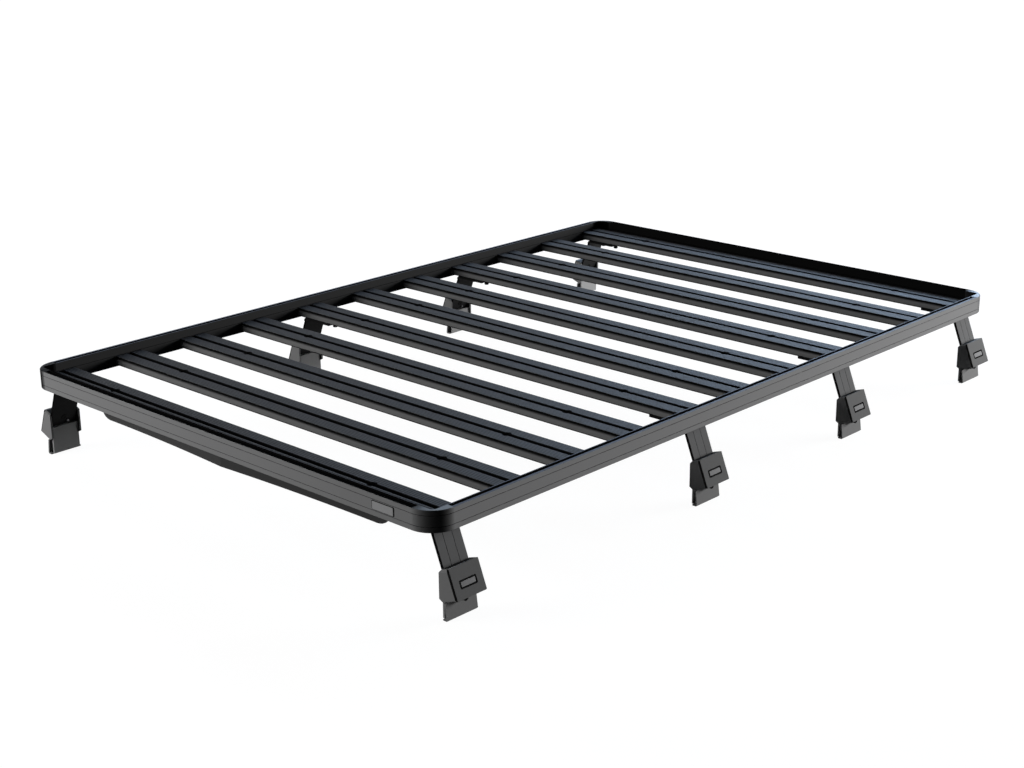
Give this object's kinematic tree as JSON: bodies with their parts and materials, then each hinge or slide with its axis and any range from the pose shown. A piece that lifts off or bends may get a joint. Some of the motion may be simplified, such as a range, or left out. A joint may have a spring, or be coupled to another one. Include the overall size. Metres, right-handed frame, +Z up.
{
  "type": "platform roof rack",
  "caption": "Flat platform roof rack with cross slats in a channelled rail frame, on sloped legs that clamp to a vehicle's rain gutters.",
  "frame": {"origin": "centre of the rack's footprint, level with the undersides of the gutter hooks", "axes": "+X across the rack to its right, +Y along the rack to its rear, so the wind fairing is at -Y, +Z up"},
  "size_m": [1.493, 2.166, 0.237],
  "materials": {
    "rail": "satin black powder coat on extruded aluminium",
    "corner": "satin black powder coat on cast aluminium",
    "slat": "satin black powder coat with fine ribs along the top",
    "leg": "satin black powder coat",
    "foot_cover": "fine-textured black powder coat on cast aluminium",
    "jaw": "satin black coat on steel plate",
    "fairing": "satin black powder coat on sheet"
  },
  "bodies": {
    "root": {"front_rail": "rail", "rear_rail": "rail", "left_rail": "rail", "right_rail": "rail", "front_left_corner": "corner", "front_right_corner": "corner", "rear_left_corner": "corner", "rear_right_corner": "corner", "slat_1": "slat", "slat_2": "slat", "slat_3": "slat", "slat_4": "slat", "slat_5": "slat", "slat_6": "slat", "slat_7": "slat", "slat_8": "slat", "slat_9": "slat", "slat_10": "slat", "slat_11": "slat", "leg_left_1": "leg", "leg_left_2": "leg", "leg_left_3": "leg", "leg_left_4": "leg", "leg_right_1": "leg", "leg_right_2": "leg", "leg_right_3": "leg", "leg_right_4": "leg", "foot_cover_left_1": "foot_cover", "foot_cover_left_2": "foot_cover", "foot_cover_left_3": "foot_cover", "foot_cover_left_4": "foot_cover", "foot_cover_right_1": "foot_cover", "foot_cover_right_2": "foot_cover", "foot_cover_right_3": "foot_cover", "foot_cover_right_4": "foot_cover", "gutter_hook_left_1": "jaw", "gutter_hook_left_2": "jaw", "gutter_hook_left_3": "jaw", "gutter_hook_left_4": "jaw", "gutter_hook_right_1": "jaw", "gutter_hook_right_2": "jaw", "gutter_hook_right_3": "jaw", "gutter_hook_right_4": "jaw", "inner_jaws_left": "jaw", "inner_jaws_right": "jaw", "wind_fairing": "fairing"}
  },
  "joints": []
}
